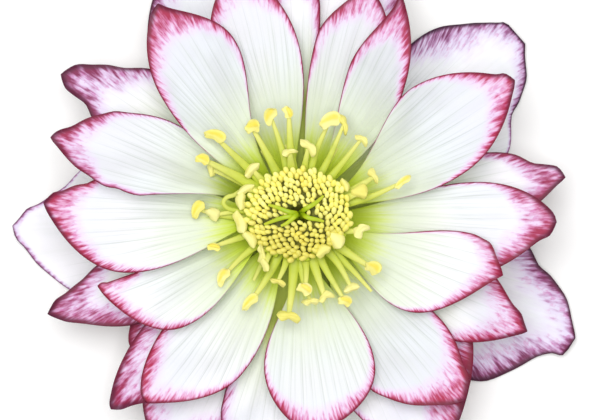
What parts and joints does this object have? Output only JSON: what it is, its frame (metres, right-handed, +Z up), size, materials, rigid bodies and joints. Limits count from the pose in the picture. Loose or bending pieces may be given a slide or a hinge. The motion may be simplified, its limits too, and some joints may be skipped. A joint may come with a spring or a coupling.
{
  "type": "hellebore flower",
  "caption": "Double hellebore bloom with a short cut stalk, lying face up: layered pale petals with dark margins round a domed boss of stamens and curved styles.",
  "frame": {"origin": "on the surface the bloom lies on, under the middle of its bounding box", "axes": "+Z up along the bloom's axis, out of its face; +Y towards the top of the face as it is usually seen"},
  "size_m": [0.0752, 0.0734, 0.0209],
  "materials": {
    "sepal": "satin, white with dark purple margins",
    "outer_petal": "satin, white with crimson margins",
    "inner_petal": "satin, white with crimson margins and a green base",
    "receptacle": "satin",
    "stamens": "matt, powdery",
    "carpels": "satin"
  },
  "bodies": {
    "root": {"sepal_1": "sepal", "sepal_2": "sepal", "sepal_3": "sepal", "sepal_4": "sepal", "sepal_5": "sepal", "outer_petal_1": "outer_petal", "outer_petal_2": "outer_petal", "outer_petal_3": "outer_petal", "outer_petal_4": "outer_petal", "outer_petal_5": "outer_petal", "outer_petal_6": "outer_petal", "outer_petal_7": "outer_petal", "outer_petal_8": "outer_petal", "outer_petal_9": "outer_petal", "outer_petal_10": "outer_petal", "outer_petal_11": "outer_petal", "inner_petal_1": "inner_petal", "inner_petal_2": "inner_petal", "inner_petal_3": "inner_petal", "inner_petal_4": "inner_petal", "inner_petal_5": "inner_petal", "inner_petal_6": "inner_petal", "inner_petal_7": "inner_petal", "inner_petal_8": "inner_petal", "inner_petal_9": "inner_petal", "inner_petal_10": "inner_petal", "inner_petal_11": "inner_petal", "inner_petal_12": "inner_petal", "inner_petal_13": "inner_petal", "receptacle": "receptacle", "stamens": "stamens", "carpels": "carpels"}
  },
  "joints": []
}
